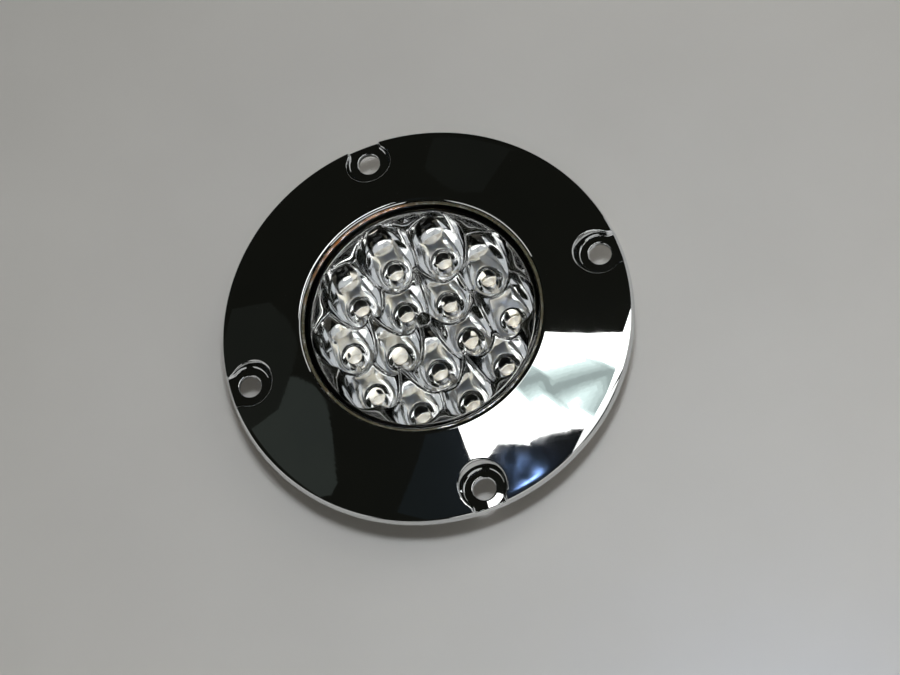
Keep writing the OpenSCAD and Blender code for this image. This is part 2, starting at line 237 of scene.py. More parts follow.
def relief(points, loops, cuts, limit, height, with_normals=True):
    """A triangulated patch over points in the plane, lifted by height(x, y), out to a radius of limit.
    loops are closed lines that its edges follow, and cuts are circles (x, y, radius) that stay open."""
    plane = [Vector(p) for p in points]
    edges = []
    for loop in loops:
        start = len(plane)
        plane += [Vector(p) for p in loop]
        edges += [(start + k, start + (k + 1) % len(loop)) for k in range(len(loop))]
    tolerance = 1e-5
    found, _, faces = delaunay_2d_cdt(plane, edges, [], 0, tolerance)[:3]
    xy = np.array([tuple(v) for v in found])
    faces = np.array([f for f in faces if len(f) == 3])
    for x, y, radius in cuts:
        within = np.hypot(xy[:, 0] - x, xy[:, 1] - y) < radius + MERGE
        faces = faces[~within[faces].all(axis=1)]
    outside = np.hypot(*xy.T) > limit + MERGE
    faces = faces[~outside[faces].any(axis=1)]
    z = height(xy[:, 0], xy[:, 1])
    normals = np.zeros((len(xy), 3))
    if with_normals:
        step = 0.01
        slope_x = (height(xy[:, 0] + step, xy[:, 1]) - height(xy[:, 0] - step, xy[:, 1])) / (2 * step)
        slope_y = (height(xy[:, 0], xy[:, 1] + step) - height(xy[:, 0], xy[:, 1] - step)) / (2 * step)
        normals = np.stack([-slope_x, -slope_y, np.ones(len(xy))], axis=1)
        normals /= np.linalg.norm(normals, axis=1)[:, None]
    return np.column_stack([xy, z]).tolist(), normals.tolist(), faces.tolist()


def make_piece(name, patches, material, nodes, sharp_deg=40):
    """One closed mesh from patches whose borders meet. It rides on the root and stands for CAD nodes."""
    bm = bmesh.new()
    fixed = []
    for points, normals, faces in patches:
        verts = [bm.verts.new(Vector(point) * MM) for point in points]
        fixed += [(vert.co.copy(), normal) for vert, normal in zip(verts, normals) if any(normal)]
        for face in faces:
            corners = [verts[i] for i in dict.fromkeys(face)]
            if len(corners) > 2:
                bm.faces.new(corners)
    bmesh.ops.remove_doubles(bm, verts=bm.verts, dist=MERGE * MM)
    loose = [v for v in bm.verts if not v.link_faces]
    bmesh.ops.delete(bm, geom=loose, context="VERTS")
    bmesh.ops.recalc_face_normals(bm, faces=bm.faces)
    mesh = bpy.data.meshes.new(name)
    bm.to_mesh(mesh)
    bm.free()
    mesh.polygons.foreach_set("use_smooth", [True] * len(mesh.polygons))
    mesh.set_sharp_from_angle(angle=math.radians(sharp_deg))
    if fixed:
        keep_normals(mesh, fixed)
    mesh.materials.append(material)
    piece = bpy.data.objects.new(name, mesh)
    bpy.context.scene.collection.objects.link(piece)
    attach(piece, "root")
    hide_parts(*nodes)
    return piece


def keep_normals(mesh, fixed):
    """Gives back the normals that were worked out from a height. Everywhere else they follow the faces."""
    tree = KDTree(len(fixed))
    for i, (place, _) in enumerate(fixed):
        tree.insert(place, i)
    tree.balance()
    normals = []
    for vertex in mesh.vertices:
        _, i, gap = tree.find(vertex.co)
        normals.append(fixed[i][1] if gap < 2 * MERGE * MM else (0, 0, 0))
    mesh.normals_split_custom_set([normals[loop.vertex_index] for loop in mesh.loops])


# Materials

class Shader:
    """A Principled material with helpers for procedural colour, roughness and relief. Lengths are in mm."""

    MIDDLE = (0.3, 0.7)     # the range that most of a texture's values lie in

    def __init__(self, name, **sockets):
        self.material = bpy.data.materials.new(name)
        self.material.use_nodes = True
        self.nodes = self.material.node_tree.nodes
        self.links = self.material.node_tree.links
        self.bsdf = self.nodes["Principled BSDF"]
        self.where = self.nodes.new("ShaderNodeTexCoord").outputs["Object"]
        for socket, value in sockets.items():
            self.bsdf.inputs[socket.replace("_", " ")].default_value = value

    def noise(self, size, detail=3):
        node = self.nodes.new("ShaderNodeTexNoise")
        node.inputs["Scale"].default_value = 1 / (size * MM)
        node.inputs["Detail"].default_value = detail
        self.links.new(self.where, node.inputs["Vector"])
        return node.outputs["Fac"]

    def cells(self, size, feature="F1"):
        node = self.nodes.new("ShaderNodeTexVoronoi")
        node.feature = feature
        node.inputs["Scale"].default_value = 1 / (size * MM)
        self.links.new(self.where, node.inputs["Vector"])
        return node.outputs["Distance"]

    def between(self, factor, low, high):
        """Maps a texture's middle range onto low to high."""
        node = self.nodes.new("ShaderNodeMapRange")
        node.inputs["From Min"].default_value, node.inputs["From Max"].default_value = self.MIDDLE
        node.inputs["To Min"].default_value = low
        node.inputs["To Max"].default_value = high
        self.links.new(factor, node.inputs["Value"])
        return node.outputs["Result"]

    def along(self, turn_deg, reach, middle):
        """Rises by 1 over twice the reach, in a direction turned from +X, and is middle at the centre."""
        node = self.nodes.new("ShaderNodeVectorMath")
        node.operation = "DOT_PRODUCT"
        turn = math.radians(turn_deg)
        length = 2 * reach * MM
        node.inputs[1].default_value = (math.cos(turn) / length, math.sin(turn) / length, 0)
        self.links.new(self.where, node.inputs[0])
        return self.added(node.outputs["Value"], middle)

    def added(self, first, second):
        node = self.nodes.new("ShaderNodeMath")
        node.operation = "ADD"
        for value, socket in zip((first, second), node.inputs):
            if isinstance(value, float):
                socket.default_value = value
            else:
                self.links.new(value, socket)
        return node.outputs["Value"]

    def roughness(self, factor, low, high):
        self.links.new(self.between(factor, low, high), self.bsdf.inputs["Roughness"])
        return self

    def colour(self, factor, first, second):
        node = self.nodes.new("ShaderNodeValToRGB")
        for element, position, tint in zip(node.color_ramp.elements, self.MIDDLE, (first, second)):
            element.position = position
            element.color = (*tint, 1)
        self.links.new(factor, node.inputs["Fac"])
        self.links.new(node.outputs["Color"], self.bsdf.inputs["Base Color"])
        return self

    def bump(self, factor, depth):
        node = self.nodes.new("ShaderNodeBump")
        node.inputs["Strength"].default_value = 1.0
        node.inputs["Distance"].default_value = depth * MM
        self.links.new(factor, node.inputs["Height"])
        if self.bsdf.inputs["Normal"].is_linked:
            self.links.new(self.bsdf.inputs["Normal"].links[0].from_socket, node.inputs["Normal"])
        self.links.new(node.outputs["Normal"], self.bsdf.inputs["Normal"])
        return self


def metal(name, first, second, rough_low, rough_high, patch):
    """Polished or satin metal, slightly uneven in tint and in gloss."""
    shader = Shader(name, Metallic=1.0)
    shader.colour(shader.noise(patch), first, second)
    return shader.roughness(shader.noise(patch / 3, 5), rough_low, rough_high)


def plastic(name, first, second, rough_low, rough_high, grain, depth):
    """Moulded plastic with a fine grain."""
    shader = Shader(name)
    shader.colour(shader.noise(9.0), first, second)
    shader.roughness(shader.noise(2.5, 4), rough_low, rough_high)
    return shader.bump(shader.noise(grain, 4), depth)


def bezel_chrome():
    shader = metal("bezel_chrome", (0.66, 0.68, 0.70), (0.72, 0.735, 0.74), 0.012, 0.035, 14.0)
    shader.bsdf.inputs["Coat Weight"].default_value = 0.03
    shader.bsdf.inputs["Coat Roughness"].default_value = 0.3
    shader.bump(shader.noise(16.0, 1), 0.003)
    return shader.bump(shader.noise(3.5, 2), 0.0022)


def clear_lens():
    shader = Shader("clear_lens", Transmission_Weight=1.0, IOR=1.49)
    shader.colour(shader.noise(20.0), (0.97, 0.985, 0.98), (0.99, 0.995, 0.99))
    return shader.roughness(shader.noise(4.0, 5), 0.0, 0.012)


def sealant():
    """Dark sealant that turns amber in broken patches over the part of the ring where it was laid thin."""
    shader = Shader("sealant", Subsurface_Weight=0.2)
    thin = shader.between(shader.along(110, seal_high.x, 0.22), -1.2, 0.1)
    shader.colour(shader.added(shader.noise(4.0, 4), thin), (0.045, 0.04, 0.026), (0.17, 0.055, 0.01))
    shader.roughness(shader.noise(1.2), 0.12, 0.35)
    return shader.bump(shader.noise(0.9, 3), 0.12)


def adhesive():
    shader = Shader("adhesive")
    shader.colour(shader.noise(1.5, 4), (0.05, 0.05, 0.05), (0.11, 0.11, 0.11))
    shader.roughness(shader.noise(0.8), 0.4, 0.7)
    return shader.bump(shader.noise(0.6, 3), 0.06)


def reflector_chrome():
    shader = metal("reflector_chrome", (0.88, 0.885, 0.89), (0.93, 0.93, 0.93), 0.03, 0.08, 5.0)
    return shader.bump(shader.noise(5.0, 1), 0.004)


def led_epoxy():
    shader = Shader("led_epoxy", Transmission_Weight=1.0, IOR=1.53)
    shader.colour(shader.noise(2.0), (0.985, 0.985, 0.975), (1.0, 1.0, 0.995))
    return shader.roughness(shader.noise(0.8, 3), 0.0, 0.008)


def led_metal():
    shader = metal("led_metal", (0.95, 0.91, 0.82), (0.99, 0.96, 0.88), 0.42, 0.58, 0.8)
    return shader.bump(shader.noise(0.25), 0.008)


def board():
    shader = Shader("board", Coat_Weight=0.4, Coat_Roughness=0.15)
    shader.colour(shader.noise(6.0, 5), (0.62, 0.62, 0.59), (0.7, 0.7, 0.67))
    shader.roughness(shader.noise(1.0, 4), 0.3, 0.45)
    return shader.bump(shader.cells(0.45), 0.01)


def solder():
    shader = metal("solder", (0.52, 0.53, 0.55), (0.68, 0.69, 0.7), 0.2, 0.42, 0.7)
    return shader.bump(shader.noise(0.3), 0.03)


def resistor_body():
    return plastic("resistor_body", (0.012, 0.012, 0.013), (0.03, 0.03, 0.032), 0.3, 0.5, 0.15, 0.01)


def component_black():
    return plastic("component_black", (0.015, 0.015, 0.016), (0.035, 0.034, 0.033), 0.35, 0.6, 0.12, 0.015)


def screw_steel():
    shader = metal("screw_steel", (0.45, 0.45, 0.44), (0.62, 0.61, 0.58), 0.2, 0.38, 1.0)
    return shader.bump(shader.noise(0.2), 0.006)


def terminal_brass():
    shader = metal("terminal_brass", (0.66, 0.46, 0.18), (0.8, 0.6, 0.28), 0.14, 0.32, 1.0)
    return shader.bump(shader.noise(0.25), 0.006)


def housing_black():
    shader = plastic("housing_black", (0.012, 0.012, 0.013), (0.02, 0.02, 0.021), 0.32, 0.5, 0.5, 0.03)
    return shader.bump(shader.cells(0.7, "SMOOTH_F1"), 0.02)


def gasket_foam():
    shader = Shader("gasket_foam")
    shader.colour(shader.cells(0.7), (0.01, 0.01, 0.011), (0.045, 0.045, 0.047))
    shader.roughness(shader.noise(1.0), 0.8, 0.98)
    shader.bump(shader.cells(0.55), 0.25)
    return shader.bump(shader.noise(0.2, 4), 0.08)


# Bezel

PADS = circle_points(HOLE_RING_R, even_angles(PAD_COUNT))


def pad_shape(x, y):
    """Distance from the outline of the nearest pad's floor, which is a circle joined to a slot that runs to
    the rim, and distance from the axis of its hole."""
    along, across = spokes(x, y, PAD_COUNT)
    along = along - HOLE_RING_R
    from_axis = np.hypot(along, across)
    from_slot = np.hypot(np.minimum(along, 0), np.maximum(np.abs(across) - PAD_SLOT, 0))
    from_slot = np.where(along > 0, np.abs(across) - PAD_SLOT, from_slot)
    return smooth_min(from_axis - PAD_R, from_slot, PAD_CORNER), from_axis


def face_height(radius):
    """Height of the sloping face, which rolls off a little towards the rim."""
    roll = np.maximum(radius - FLANGE_R + ROLL_W, 0)
    return RIM_H + (FLANGE_R - radius) * FACE_RISE - ROLL_BEND * roll * roll


def bezel_top(x, y):
    """Height of the bezel's front: the sloping face, cut by the four pads."""
    outline, from_axis = pad_shape(x, y)
    wall = -smooth_min(-PAD_WALL * outline, np.zeros(len(x)), PAD_FILLET)
    floor = PAD_Z - PAD_FALL * np.clip(from_axis - HOLE_TOP_R, 0, PAD_R - HOLE_TOP_R)
    return smooth_min(face_height(np.hypot(x, y)), floor + wall, PAD_BREAK)


def bezel_under(x, y):
    """Height of the bezel's back: the shell's underside, with the rim, the screw bosses and the ribs."""
    radius = np.hypot(x, y)
    roof = np.where(radius < SEAT_R, SEAT_Z, face_height(radius) - SHELL_T / math.cos(FACE_SLOPE))
    draft = SEAT_Z / WALL_DRAFT
    rim = (CAVITY_R - radius) * draft
    along, across = spokes(x, y, PAD_COUNT)
    boss = (np.hypot(along - HOLE_RING_R, across) - BOSS_R) * draft
    _, across = spokes(x, y, RIB_COUNT, 0.5)
    off_rib = np.maximum(np.abs(across) - RIB_T / 2, RIB_INNER_R - radius)
    rib = RIB_Z + np.maximum(off_rib * draft, 0)
    return np.maximum(np.minimum(np.minimum(roof, rim), np.minimum(boss, rib)), 0)


def bezel_angles():
    """Angles round the bezel, closer together across the four pads."""
    angles = []
    fine, coarse, half_pad = math.radians(0.25), math.radians(1.0), math.radians(12)
    span = math.tau / PAD_COUNT - 2 * half_pad
    for k in range(PAD_COUNT):
        start = k * math.tau / PAD_COUNT - half_pad
        angles += [start + j * fine for j in range(round(2 * half_pad / fine))]
        start += 2 * half_pad
        angles += [start + j * coarse for j in range(round(span / coarse))]
    return angles


def clear_of_pads(point, distance):
    return all(math.dist(point, pad) > distance for pad in PADS)


def clear_of_walls(point):
    """True away from the bosses and ribs, whose own outlines carry the mesh there."""
    gap = WALL_DRAFT + WALL_GAP
    _, across = spokes(*point, RIB_COUNT, 0.5)
    return abs(across) > RIB_T / 2 + gap and clear_of_pads(point, BOSS_R + gap)


def bezel_face(angles, hole_angles):
    """The front: even rings from lip to rim, and finer ones round each screw hole."""
    points = []
    for k in range(1, FACE_RINGS):
        radius = FACE_IN_R + (FACE_OUT_R - FACE_IN_R) * k / FACE_RINGS
        points += [p for p in circle_points(radius, angles) if clear_of_pads(p, PAD_ZONE)]
    for pad in PADS:
        away = math.atan2(pad[1], pad[0])
        for k in range(1, PAD_RINGS + 1):
            radius = HOLE_TOP_R + (PAD_ZONE - PAD_ZONE_GAP - HOLE_TOP_R) * k / PAD_RINGS
            ring_angles = even_angles(PAD_SIDES, away + k % 2 * math.pi / PAD_SIDES)
            ring = circle_points(radius, ring_angles, pad)
            points += [p for p in ring if math.hypot(*p) < FACE_OUT_R - PAD_RIM_GAP]
    loops = [circle_points(FACE_IN_R, angles), circle_points(FACE_OUT_R, angles)]
    loops += [circle_points(HOLE_TOP_R, hole_angles, pad) for pad in PADS]
    cuts = [(0, 0, FACE_IN_R)] + [(*pad, HOLE_TOP_R) for pad in PADS]
    return relief(points, loops, cuts, FACE_OUT_R, bezel_top)


def bezel_rim(angles):
    """The rim's rounded upper edge and its drafted wall, which follow the pads' floors."""
    x, y = (np.array(v) for v in zip(*circle_points(FACE_OUT_R, angles)))
    top = bezel_top(x, y)
    nudge = 1e-4
    outer = bezel_top(x * (1 + nudge), y * (1 + nudge))
    slopes = np.arctan(np.clip((top - outer) / (FACE_OUT_R * nudge), 0, None))
    bend = FOOT_EDGE * FOOT_BEND
    foot = [(BASE_R, FOOT_EDGE), (BASE_R - bend, bend), (BASE_R - FOOT_EDGE, 0)]
    rows = [[] for _ in range(RIM_STEPS + 1 + len(foot))]
    for angle, z, slope in zip(angles, top, slopes):
        edge = (FLANGE_R - FACE_OUT_R) / (1 - math.sin(slope))
        section = []
        for k in range(RIM_STEPS + 1):
            turn = slope + (math.pi / 2 - slope) * k / RIM_STEPS
            section.append((FACE_OUT_R + edge * (math.sin(turn) - math.sin(slope)),
                            z - edge * (math.cos(slope) - math.cos(turn))))
        for row, (radius, height) in zip(rows, section + foot):
            row.append((radius * math.cos(angle), radius * math.sin(angle), height))
    return join_rows(rows)


def bezel_back(angles, hole_angles):
    """The underside: rings kept clear of the walls, and the outlines of rim, bosses and ribs."""
    points = []
    for radius in UNDER_RINGS:
        points += [p for p in circle_points(radius, even_angles(180)) if clear_of_walls(p)]
    inner_r, outer_r = OPENING_R + SEAT_EDGE, BASE_R - FOOT_EDGE
    loops = [circle_points(inner_r, angles), circle_points(outer_r, angles)]
    for radius in (CAVITY_R - WALL_DRAFT, CAVITY_R):
        loops.append(circle_points(radius, even_angles(360)))
    for pad in PADS:
        loops.append(circle_points(HOLE_R + HOLE_FOOT, hole_angles, pad))
        boss_angles = even_angles(HOLE_SIDES, math.atan2(pad[1], pad[0]))
        for radius in (BOSS_R, BOSS_R + WALL_DRAFT):
            points += [p for p in circle_points(radius, boss_angles, pad) if math.hypot(*p) < CAVITY_R + 1]
    for k in range(RIB_COUNT):
        turn = (k + 0.5) * math.tau / RIB_COUNT
        for grow in (0, WALL_DRAFT):
            end_r = RIB_INNER_R - grow
            corners = []
            for radius, side in ((end_r, -1), (CAVITY_R, -1), (CAVITY_R, 1), (end_r, 1)):
                across = side * (RIB_T / 2 + grow)
                corners.append((radius * math.cos(turn) - across * math.sin(turn),
                                radius * math.sin(turn) + across * math.cos(turn)))
            loops.append(corners)
    cuts = [(0, 0, inner_r)] + [(*pad, HOLE_R + HOLE_FOOT) for pad in PADS]
    return relief(points, loops, cuts, outer_r, bezel_under, with_normals=False)


def bezel_mesh():
    angles = bezel_angles()
    hole_angles = even_angles(HOLE_SIDES)
    lip_z = float(face_height(LIP_CENTRE_R)) - LIP_R / math.cos(FACE_SLOPE)
    lip = arc((LIP_CENTRE_R, lip_z), LIP_R, 90 - math.degrees(FACE_SLOPE), 180, 12)
    lip += [(OPENING_R, SEAT_Z + SEAT_EDGE), (OPENING_R + SEAT_EDGE, SEAT_Z)]
    hole = arc((HOLE_TOP_R, PAD_Z - HOLE_EDGE), HOLE_EDGE, 90, 180, 5)
    hole += [(HOLE_R, HOLE_FOOT), (HOLE_R + HOLE_FOOT, 0)]
    patches = [bezel_face(angles, hole_angles), revolve(lip, angles), bezel_rim(angles)]
    patches += [revolve(hole, hole_angles, pad) for pad in PADS]
    patches.append(bezel_back(angles, hole_angles))
    return patches


# Reflector

def led_axes():
    """Where each LED stands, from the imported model."""
    axes = []
    for i in range(LED_COUNT):
        low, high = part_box(f"led_{i + 1:02d}")
        axes.append(((low.x + high.x) / 2 / MM, (low.y + high.y) / 2 / MM))
    return axes


def well_height(distance):
    """Height of a well's wall at a distance from its axis: steep walls over a nearly flat floor."""
    wall = WELL_LOW_Z + (PLATE_Z - WELL_LOW_Z) * (distance / WELL_TOP_R) ** 4
    floor = WELL_FLOOR_Z + WELL_FLOOR_RISE * (distance - WELL_HOLE_R)
    return -smooth_min(-wall, -floor, WELL_FILLET)


def nearest_well(x, y):
    """Distance to the nearest LED's axis, rounded off where two wells meet."""
    far = 1e3
    nearest = np.full(len(x), far)
    for ax, ay in led_axes():
        nearest = smooth_min(nearest, np.hypot(x - ax, y - ay), WELL_BLEND)
    return nearest


def reflector_top(x, y):
    """Height of the reflector's front: the flat plate with its bead, cut by the wells."""
    radius = np.hypot(x, y)
    bead = (reflector_high.z - PLATE_Z) * np.sqrt(np.clip(1 - ((radius - BEAD_R) / BEAD_W) ** 2, 0, 1))
    return smooth_min(PLATE_Z + bead, well_height(nearest_well(x, y)), WELL_EDGE)


def reflector_under(x, y):
    """Height of its back, which follows the front at the thickness of the shell."""
    cup = np.maximum(nearest_well(x, y) - REFLECTOR_T, WELL_HOLE_R)
    return np.minimum(PLATE_Z - REFLECTOR_T, well_height(cup) - REFLECTOR_T)


def well_points(axes, limit, steps):
    """Rings round each LED, cut off where the next well starts, and rings over the flat middle."""
    points = []
    reach = WELL_TOP_R - WELL_LIP_GAP - WELL_HOLE_R
    radii = [WELL_HOLE_R + reach * k / steps for k in range(1, steps + 1)]
    radii += [WELL_TOP_R + gap for gap in WELL_LIP_RINGS]
    for i, axis in enumerate(axes):
        for k, radius in enumerate(radii):
            for p in circle_points(radius, even_angles(WELL_SIDES, k % 2 * math.pi / WELL_SIDES), axis):
                nearest = min(range(len(axes)), key=lambda j: math.dist(p, axes[j]))
                if nearest == i and math.hypot(*p) < limit:
                    points.append(p)
    for k in range(1, PLATE_RINGS + 1):
        for p in circle_points(k * PLATE_STEP, even_angles(6 * k)):
            if min(math.dist(p, axis) for axis in axes) > WELL_TOP_R + PLATE_GAP:
                points.append(p)
    return points


def reflector_mesh():
    axes = led_axes()
    hole_angles = even_angles(48)
    rim_angles = even_angles(360)
    inner_r = REFLECTOR_R - SKIRT_T
    holes = [circle_points(WELL_HOLE_R, hole_angles, axis) for axis in axes]
    cuts = [(*axis, WELL_HOLE_R) for axis in axes]

    points = well_points(axes, inner_r - TOP_GAP, TOP_RINGS)
    for radius in BEAD_RINGS:
        points += circle_points(radius, rim_angles)
    rim = circle_points(REFLECTOR_R, rim_angles)
    patches = [relief(points, [rim] + holes, cuts, REFLECTOR_R, reflector_top)]
    points = well_points(axes, inner_r - BACK_GAP, BACK_RINGS)
    rim = circle_points(inner_r, rim_angles)
    patches.append(relief(points, [rim] + holes, cuts, inner_r, reflector_under, with_normals=False))

    def height_at(height, x, y):
        return float(height(np.array([x]), np.array([y]))[0])

    skirt = [(REFLECTOR_R, height_at(reflector_top, REFLECTOR_R, 0.0)), (REFLECTOR_R, BOARD_Z),
             (inner_r, BOARD_Z), (inner_r, PLATE_Z - REFLECTOR_T)]
    patches.append(revolve(skirt, rim_angles))
    edge = (axes[0][0] + WELL_HOLE_R, axes[0][1])
    wall = [(WELL_HOLE_R, height_at(surface, *edge)) for surface in (reflector_top, reflector_under)]
    patches += [revolve(wall, hole_angles, axis) for axis in axes]
    return patches


# LEDs

def led_mesh():
    """A clear body with a collar at its base and a domed top, about its own axis."""
    collar_z = BOARD_Z + LED_COLLAR_H
    profile = [(0, BOARD_Z), (LED_COLLAR_R - LED_EDGE, BOARD_Z), (LED_COLLAR_R, BOARD_Z + LED_EDGE)]
    profile += [(LED_COLLAR_R, collar_z - LED_EDGE), (LED_COLLAR_R - LED_EDGE, collar_z)]
    profile += [(LED_R + LED_EDGE, collar_z), (LED_R, collar_z + LED_EDGE)]
    profile += arc((0, BOARD_Z + LED_H - LED_R), LED_R, 0, 90, 20)
    return [revolve(profile, even_angles(64))]


def leadframe_mesh():
    """Two leads, a conical cup with its chip on one of them, a flag on the other, and the bond wire."""
    low_z = BOARD_Z - LEAD_DROP
    lead_top = CUP_Z + 0.3
    cup_top = CUP_Z + CUP_H
    outer_y = LEAD_Y + LEAD_HALF
    patches = []
    for side in (-1, 1):
        patches.append(box_patch((-LEAD_HALF, side * LEAD_Y - LEAD_HALF, low_z),
                                 (LEAD_HALF, side * LEAD_Y + LEAD_HALF, lead_top)))

    # The bridge from one lead to the middle, and the cup on it
    bridge_half, bridge_end, bridge_low, bridge_top = 0.55, 0.35, CUP_Z - 0.1, CUP_Z + 0.35
    patches.append(box_patch((-bridge_half, -outer_y, bridge_low), (bridge_half, bridge_end, bridge_top)))
    foot_r, floor_r, floor_z = 0.6, 0.38, cup_top - 0.55
    bevel_h, rim_outer, rim_inner = 0.1, CUP_R - 0.06, CUP_R - 0.14
    cup = [(0, CUP_Z), (foot_r, CUP_Z), (CUP_R, cup_top - bevel_h)]
    cup += [(rim_outer, cup_top), (rim_inner, cup_top), (floor_r, floor_z), (0, floor_z)]
    patches.append(revolve(cup, even_angles(32)))

    chip_half, chip_low, chip_top = 0.17, cup_top - 0.57, cup_top - 0.33
    patches.append(box_patch((-chip_half, -chip_half, chip_low), (chip_half, chip_half, chip_top)))
    flag_half, flag_y, flag_low, flag_top = 0.4, 1.05, CUP_Z + 0.2, cup_top + 0.3
    patches.append(box_patch((-flag_half, flag_y, flag_low), (flag_half, outer_y, flag_top)))

    # The wire rises from the chip to the flag in an arch
    steps, wire_r, span, rise, arch = 8, 0.03, 1.2, 0.55, 1.6
    wire = []
    for k in range(steps + 1):
        share = k / steps
        centre_z = chip_top + share * rise + arch * share * (1 - share)
        wire.append([(wire_r * math.cos(a), share * span, centre_z + wire_r * math.sin(a))
                     for a in even_angles(6)])
    patches.append(join_rows(wire))
    return patches


def place_at(piece, axis):
    """Moves a piece that was made about its own axis to an LED's place, lead pair across the radius."""
    turn = math.atan2(axis[1], axis[0])
    move = Matrix.Translation((axis[0] * MM, axis[1] * MM, 0)) @ Matrix.Rotation(turn, 4, "Z")
    piece.data.transform(move)
    piece.data.update()


# Lens, seal, gasket and bond

def lens_mesh():
    """A flat disc with a rounded upper edge, standing on a low lip."""
    lip_inner, lip_top = REFLECTOR_R + LENS_LIP_GAP, lens_low.z + LENS_LIP_H
    profile = [(0, lens_high.z)]
    profile += arc((LENS_R - LENS_EDGE, lens_high.z - LENS_EDGE), LENS_EDGE, 90, 0, 5)
    profile += [(LENS_R, lens_low.z + LENS_BEVEL), (LENS_R - LENS_BEVEL, lens_low.z)]
    profile += [(lip_inner, lens_low.z), (lip_inner, lip_top), (0, lip_top)]
    return [revolve(profile, even_angles(180))]


def seal_mesh():
    """A bead of sealant in the gap round the lens, its top uneven as it was laid by hand."""
    rng = np.random.default_rng(7)
    waves = [(rng.integers(3, 40), rng.uniform(0, math.tau), rng.uniform(0.3, 1.0))
             for _ in range(SEAL_WAVES)]
    inner, outer = LENS_R + SEAL_GAP, OPENING_R - SEAL_GAP
    depth, contrast, hollow_w, hollow_h = 0.35, 2.2, 0.25, 0.12
    rows = [[] for _ in range(6)]
    for a in even_angles(360):
        swell = sum(size * math.sin(count * a + phase) for count, phase, size in waves) / SEAL_WAVES
        crest = seal_high.z - depth + depth * max(-1.0, min(1.0, swell * contrast))
        hollow = crest - hollow_h
        section = [(inner, seal_low.z), (inner, crest), (inner + hollow_w, hollow),
                   (outer - hollow_w, hollow), (outer, crest), (outer, seal_low.z)]
        for row, (radius, z) in zip(rows, section):
            row.append((radius * math.cos(a), radius * math.sin(a), z))
    return [join_rows(rows, closed=True)]


def bond_mesh():
    low, high = bond_low.z, bond_high.z
    inner, outer = OPENING_R, bond_high.x
    profile = [(inner, low), (outer, low), (outer, high), (inner, high)]
    return [revolve(profile, even_angles(180), closed=True)]


def gasket_mesh():
    """A foam ring with rounded edges."""
    inner, outer = GASKET_INNER_R + GASKET_EDGE, gasket_high.x - GASKET_EDGE
    low, high = gasket_low.z + GASKET_EDGE, gasket_high.z - GASKET_EDGE
    profile = []
    for centre, start in (((outer, low), -90), ((outer, high), 0), ((inner, high), 90), ((inner, low), 180)):
        profile += arc(centre, GASKET_EDGE, start, start + 90, 4)
    return [revolve(profile, even_angles(240), closed=True)]


# Camera, floor and lights

def aim_camera():
    """The camera looks at the lens from the photograph's angle. Returns the place of the flash above it."""
    azimuth, elevation, roll = (math.radians(v) for v in (-84.18, 67.26, -26.13))
    aim = Vector((5.593, -8.642, 2.5)) * MM
    distance = 575.54 * MM
    back = Vector((math.cos(elevation) * math.cos(azimuth), math.cos(elevation) * math.sin(azimuth),
                   math.sin(elevation)))
    level_right = Vector((0, 0, 1)).cross(back).normalized()
    level_up = back.cross(level_right)
    right = level_right * math.cos(roll) + level_up * math.sin(roll)
    up = back.cross(right)
    data = bpy.data.cameras.new("camera")
    data.lens = 76
    data.sensor_width = 36
    data.clip_start = 0.01
    data.clip_end = 50
    camera = bpy.data.objects.new("camera", data)
    bpy.context.scene.collection.objects.link(camera)
    place = aim + back * distance
    camera.matrix_world = Matrix((
        (right.x, up.x, back.x, place.x),
        (right.y, up.y, back.y, place.y),
        (right.z, up.z, back.z, place.z),
        (0, 0, 0, 1),
    ))
    bpy.context.scene.camera = camera
    return (place + up * FLASH_RISE * MM) / MM


def rectangle(name, half_x, half_y, z, corners):
    """A level rectangle. The order of its corners says which way it faces."""
    x, y = half_x * MM, half_y * MM
    mesh = bpy.data.meshes.new(name)
    mesh.from_pydata([(-x, -y, z * MM), (x, -y, z * MM), (x, y, z * MM), (-x, y, z * MM)], [], [corners])
    return mesh


def lay_floor():
    mesh = rectangle("floor", FLOOR_HALF, FLOOR_HALF, housing_low.z, (0, 1, 2, 3))
    floor = bpy.data.objects.new("floor", mesh)
    shader = Shader("floor_paint", Specular_IOR_Level=0.4)
    shader.colour(shader.noise(40.0, 4), (0.60, 0.58, 0.54), (0.62, 0.60, 0.56))
    shader.roughness(shader.noise(15.0, 3), 0.28, 0.36)
    mesh.materials.append(shader.material)
    bpy.context.scene.collection.objects.link(floor)


def turned(centre, turn_deg, facing=None):
    """The place of something that faces straight down, or as facing says, turned about that direction."""
    facing = facing or Matrix.Identity(4)
    return Matrix.Translation(Vector(centre) * MM) @ facing @ Matrix.Rotation(math.radians(turn_deg), 4, "Z")


def watts(level, size):
    """Power that makes a light of this size look as bright as level."""
    return level * math.pi * (size[0] * MM) * (size[1] * MM)


def area_light(name, centre, size, power, colour, matrix=None):
    """A rectangular light, which faces the origin unless a matrix places it. Lengths are in millimetres."""
    data = bpy.data.lights.new(name, "AREA")
    data.shape = "RECTANGLE"
    data.size, data.size_y = size[0] * MM, size[1] * MM
    data.energy = power
    data.color = colour
    light = bpy.data.objects.new(name, data)
    if matrix is None:
        to_origin = (-Vector(centre)).to_track_quat("-Z", "Y").to_matrix().to_4x4()
        matrix = turned(centre, 0, to_origin)
    light.matrix_world = matrix
    light.visible_camera = False
    bpy.context.scene.collection.objects.link(light)
    return light


def ceiling_light(name, centre, size, level, colour, turn_deg):
    """A light on the ceiling that faces straight down, its long side turned from +X."""
    place = (*centre, CEILING_Z)
    area_light(name, place, size, watts(level, size), colour, turned(place, turn_deg))


